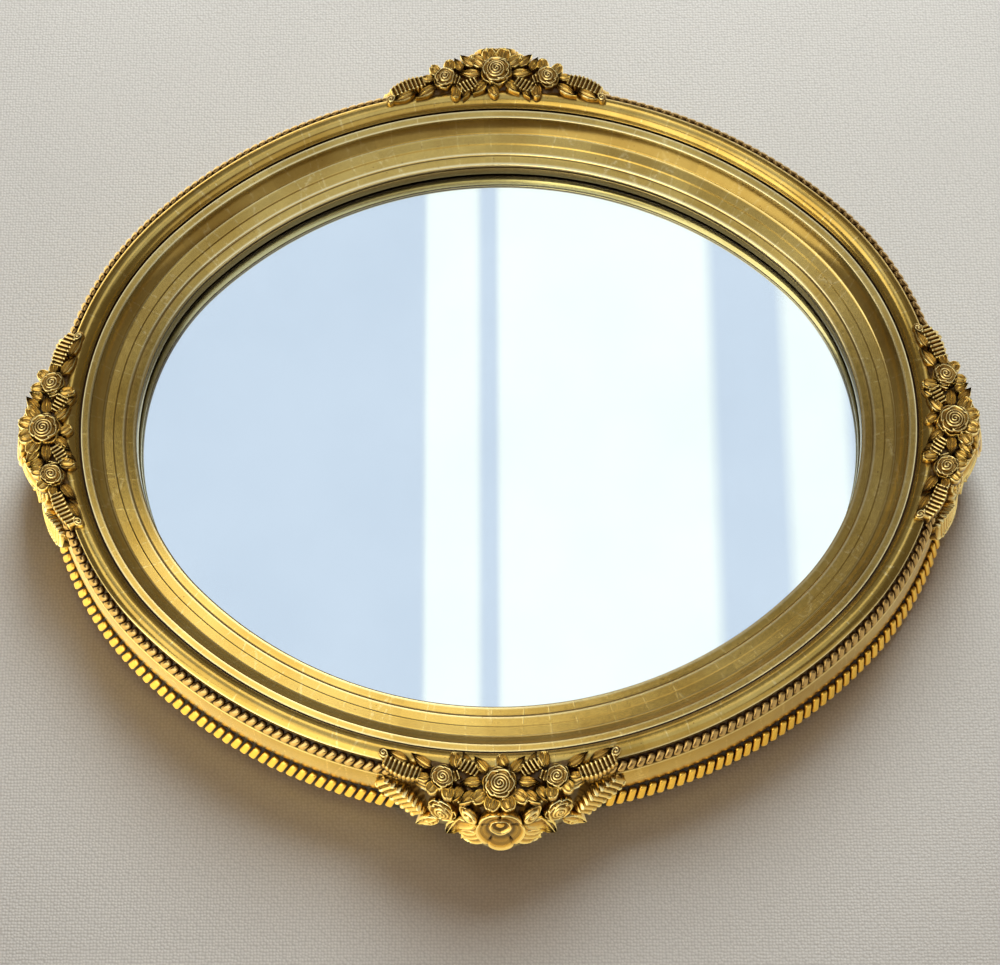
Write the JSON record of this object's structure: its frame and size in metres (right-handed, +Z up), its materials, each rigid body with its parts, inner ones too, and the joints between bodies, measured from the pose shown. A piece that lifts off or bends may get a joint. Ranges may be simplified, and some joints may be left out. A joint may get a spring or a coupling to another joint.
{
  "type": "oval wall mirror",
  "caption": "Landscape oval wall mirror in a deep gilt moulding with rope beads, a gadrooned base and rose ornaments, hung by rings behind.",
  "frame": {"origin": "middle of the oval on the wall plane, at the back of the felt", "axes": "+Z up, -Y towards the viewer, +Y into the wall, +X to the viewer's right"},
  "size_m": [0.6534, 0.0777, 0.576],
  "materials": {
    "gilt_wood": "burnished antique gold leaf over red clay",
    "gilt_compo": "antique gold leaf on pressed composition, brown wash in the recesses",
    "gilt_slip": "gold leaf",
    "bare_wood": "bare pine, dusty",
    "hardboard": "smooth brown hardboard",
    "glass": "clear float glass",
    "silver": "silvered",
    "felt": "dark grey felt",
    "brass": "brass plated, satin",
    "steel": "zinc plated"
  },
  "bodies": {
    "mirror": {"back_ring": "bare_wood", "backing_board": "hardboard", "bottom_bloom": "gilt_compo", "bottom_leaves": "gilt_compo", "bottom_plaque": "gilt_compo", "bottom_ribbons": "gilt_compo", "bottom_rose": "gilt_compo", "bottom_side_roses": "gilt_compo", "frame_bottom": "gilt_wood", "frame_left": "gilt_wood", "frame_right": "gilt_wood", "frame_top": "gilt_wood", "gadroons_bottom_left": "gilt_compo", "gadroons_bottom_right": "gilt_compo", "gadroons_top_left": "gilt_compo", "gadroons_top_right": "gilt_compo", "hanger_screws": "steel", "hanger_strap_left": "steel", "hanger_strap_right": "steel", "joint_keys": "bare_wood", "left_bloom": "gilt_compo", "left_leaves": "gilt_compo", "left_plaque": "gilt_compo", "left_ribbons": "gilt_compo", "left_rose": "gilt_compo", "left_side_roses": "gilt_compo", "mirror_glass": "glass", "mirror_silver": "silver", "right_bloom": "gilt_compo", "right_leaves": "gilt_compo", "right_plaque": "gilt_compo", "right_ribbons": "gilt_compo", "right_rose": "gilt_compo", "right_side_roses": "gilt_compo", "rope_bottom_left": "gilt_compo", "rope_bottom_right": "gilt_compo", "rope_top_left": "gilt_compo", "rope_top_right": "gilt_compo", "sight_slip": "gilt_slip", "top_bloom": "gilt_compo", "top_leaves": "gilt_compo", "top_plaque": "gilt_compo", "top_ribbons": "gilt_compo", "top_rose": "gilt_compo", "top_side_roses": "gilt_compo", "turn_button_screws": "steel", "wall_felt": "felt"},
    "turn_button_top_left": {"turn_button_top_left": "brass"},
    "turn_button_top_right": {"turn_button_top_right": "brass"},
    "turn_button_left": {"turn_button_left": "brass"},
    "turn_button_right": {"turn_button_right": "brass"},
    "turn_button_bottom_left": {"turn_button_bottom_left": "brass"},
    "turn_button_bottom_right": {"turn_button_bottom_right": "brass"},
    "hanger_ring_left": {"hanger_ring_left": "steel"},
    "hanger_ring_right": {"hanger_ring_right": "steel"}
  },
  "joints": [
    {"name": "turn_button_top_left_swivel", "type": "hinge", "parent": "mirror", "child": "turn_button_top_left", "pos_m": [-0.12609, -0.0183, 0.18505], "axis": [0, 1, 0], "range_deg": [-90, 90]},
    {"name": "turn_button_top_right_swivel", "type": "hinge", "parent": "mirror", "child": "turn_button_top_right", "pos_m": [0.12609, -0.0183, 0.18505], "axis": [0, 1, 0], "range_deg": [-90, 90]},
    {"name": "turn_button_left_swivel", "type": "hinge", "parent": "mirror", "child": "turn_button_left", "pos_m": [-0.263, -0.0183, 0], "axis": [0, 1, 0], "range_deg": [-90, 90]},
    {"name": "turn_button_right_swivel", "type": "hinge", "parent": "mirror", "child": "turn_button_right", "pos_m": [0.263, -0.0183, 0], "axis": [0, 1, 0], "range_deg": [-90, 90]},
    {"name": "turn_button_bottom_left_swivel", "type": "hinge", "parent": "mirror", "child": "turn_button_bottom_left", "pos_m": [-0.12609, -0.0183, -0.18505], "axis": [0, 1, 0], "range_deg": [-90, 90]},
    {"name": "turn_button_bottom_right_swivel", "type": "hinge", "parent": "mirror", "child": "turn_button_bottom_right", "pos_m": [0.12609, -0.0183, -0.18505], "axis": [0, 1, 0], "range_deg": [-90, 90]},
    {"name": "hanger_ring_left_swing", "type": "hinge", "parent": "mirror", "child": "hanger_ring_left", "pos_m": [-0.23747, -0.0157, 0.08782], "axis": [-0.866, 0, 0.5], "range_deg": [0, 120]},
    {"name": "hanger_ring_right_swing", "type": "hinge", "parent": "mirror", "child": "hanger_ring_right", "pos_m": [0.23747, -0.0157, 0.08782], "axis": [-0.866, 0, -0.5], "range_deg": [0, 120]}
  ]
}
